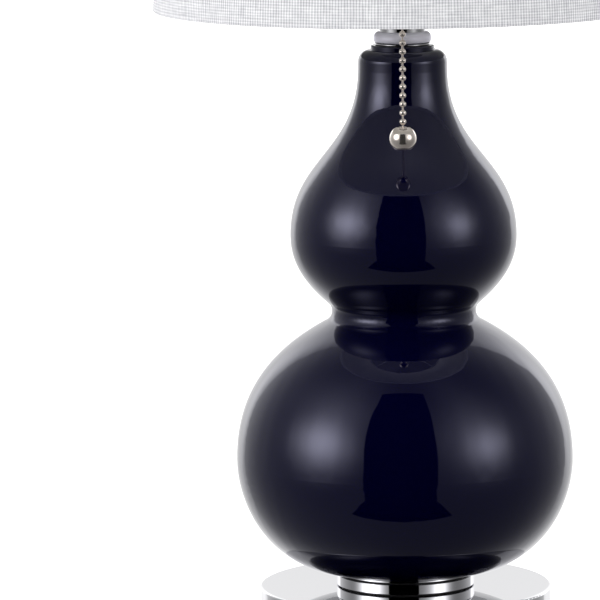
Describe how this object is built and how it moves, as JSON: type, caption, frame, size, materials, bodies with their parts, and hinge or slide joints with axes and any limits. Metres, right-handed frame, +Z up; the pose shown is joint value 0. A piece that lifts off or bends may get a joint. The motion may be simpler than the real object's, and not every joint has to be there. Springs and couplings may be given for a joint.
{
  "type": "double gourd table lamp",
  "caption": "Table lamp with a glazed double gourd body on a polished disc base, a drum shade and pull-chain lampholders.",
  "frame": {"origin": "centre of the underside of the felt pad, on the lamp's axis", "axes": "+Z up along the lamp's axis; the front pull chain hangs on the -Y side, the cord inlet is on +Y"},
  "size_m": [0.3547, 0.3548, 0.7111],
  "materials": {
    "chrome": "polished",
    "nickel": "polished",
    "steel": "zinc plated",
    "brass": "satin",
    "aluminium": "satin",
    "iron": "as cast",
    "felt": "felt",
    "rubber": "matte",
    "black_plastic": "satin",
    "phenolic": "moulded",
    "card": "plain",
    "glaze": "gloss",
    "white_plastic": "satin",
    "opal": "satin",
    "linen": "woven linen",
    "styrene": "satin",
    "white_wire": "powder coat"
  },
  "bodies": {
    "lamp": {"felt_pad": "felt", "base_weight": "iron", "base_shell": "chrome", "cord_bushing": "black_plastic", "bottom_washer": "steel", "bottom_nut": "steel", "ring_gasket": "rubber", "base_ring": "chrome", "plate_gasket": "rubber", "seat_plate": "chrome", "gourd_body": "glaze", "neck_gasket": "rubber", "neck_cap": "chrome", "column_tube": "chrome", "centre_pipe": "steel", "cluster_body": "chrome", "riser_pipe": "chrome", "riser_nut": "chrome", "shade_seat": "chrome", "front_arm": "chrome", "front_arm_nut": "chrome", "front_holder_cap": "chrome", "front_holder_shell": "chrome", "front_card_liner": "card", "front_switch_body": "phenolic", "front_screw_shell": "aluminium", "front_centre_contact": "brass", "front_chain_spout": "chrome", "rear_arm": "chrome", "rear_arm_nut": "chrome", "rear_holder_cap": "chrome", "rear_holder_shell": "chrome", "rear_card_liner": "card", "rear_switch_body": "phenolic", "rear_screw_shell": "aluminium", "rear_centre_contact": "brass", "rear_chain_spout": "chrome"},
    "front_pull": {"front_chain_lead": "nickel"},
    "front_swivel": {"front_swivel_ball": "nickel"},
    "front_hanging_chain": {"front_chain": "nickel", "front_pendant": "nickel"},
    "front_switch": {"front_switch_cam": "brass"},
    "front_bulb": {"front_bulb_cap": "aluminium", "front_bulb_housing": "white_plastic", "front_bulb_globe": "opal"},
    "rear_pull": {"rear_chain_lead": "nickel"},
    "rear_swivel": {"rear_swivel_ball": "nickel"},
    "rear_hanging_chain": {"rear_chain": "nickel", "rear_pendant": "nickel"},
    "rear_switch": {"rear_switch_cam": "brass"},
    "rear_bulb": {"rear_bulb_cap": "aluminium", "rear_bulb_housing": "white_plastic", "rear_bulb_globe": "opal"},
    "shade": {"spider": "white_wire", "bottom_ring": "white_wire", "shade_lining": "styrene", "shade_fabric": "linen"},
    "finial_set": {"finial_washer": "chrome", "finial": "chrome"}
  },
  "joints": [
    {"name": "front_pull_slide", "type": "slide", "parent": "lamp", "child": "front_pull", "axis": [0, 0, -1], "range_m": [0, 0.012], "stiffness_N_per_m": 150, "springref_m": -0.01},
    {"name": "front_chain_fore_aft", "type": "hinge", "parent": "front_pull", "child": "front_swivel", "pos_m": [0, -0.0857, 0.4838], "axis": [1, 0, 0], "range_deg": [-30, 9]},
    {"name": "front_chain_sideways", "type": "hinge", "parent": "front_swivel", "child": "front_hanging_chain", "pos_m": [0, -0.0857, 0.47768], "axis": [0, 1, 0], "range_deg": [-30, 30]},
    {"name": "front_switch_turn", "type": "hinge", "parent": "lamp", "child": "front_switch", "pos_m": [0, -0.05, 0.512], "axis": [1, 0, 0], "range_deg": [0, 45]},
    {"name": "front_bulb_lift", "type": "slide", "parent": "lamp", "child": "front_bulb", "axis": [0, 0, 1], "range_m": [0, 0.03]},
    {"name": "rear_pull_slide", "type": "slide", "parent": "lamp", "child": "rear_pull", "axis": [0, 0, -1], "range_m": [0, 0.012], "stiffness_N_per_m": 150, "springref_m": -0.01},
    {"name": "rear_chain_fore_aft", "type": "hinge", "parent": "rear_pull", "child": "rear_swivel", "pos_m": [0, 0.0857, 0.4838], "axis": [1, 0, 0], "range_deg": [-9, 30]},
    {"name": "rear_chain_sideways", "type": "hinge", "parent": "rear_swivel", "child": "rear_hanging_chain", "pos_m": [0, 0.0857, 0.47768], "axis": [0, 1, 0], "range_deg": [-30, 30]},
    {"name": "rear_switch_turn", "type": "hinge", "parent": "lamp", "child": "rear_switch", "pos_m": [0, 0.05, 0.512], "axis": [1, 0, 0], "range_deg": [0, 45]},
    {"name": "rear_bulb_lift", "type": "slide", "parent": "lamp", "child": "rear_bulb", "axis": [0, 0, 1], "range_m": [0, 0.03]},
    {"name": "shade_turn", "type": "hinge", "parent": "lamp", "child": "shade", "pos_m": [0, 0, 0.68], "axis": [0, 0, 1], "continuous": true},
    {"name": "finial_turn", "type": "hinge", "parent": "lamp", "child": "finial_set", "pos_m": [0, 0, 0.69], "axis": [0, 0, 1], "continuous": true}
  ],
  "couplings": [
    {"joint": "front_switch_turn", "follows": "front_pull_slide", "rad_per_m": 65},
    {"joint": "rear_switch_turn", "follows": "rear_pull_slide", "rad_per_m": 65}
  ]
}
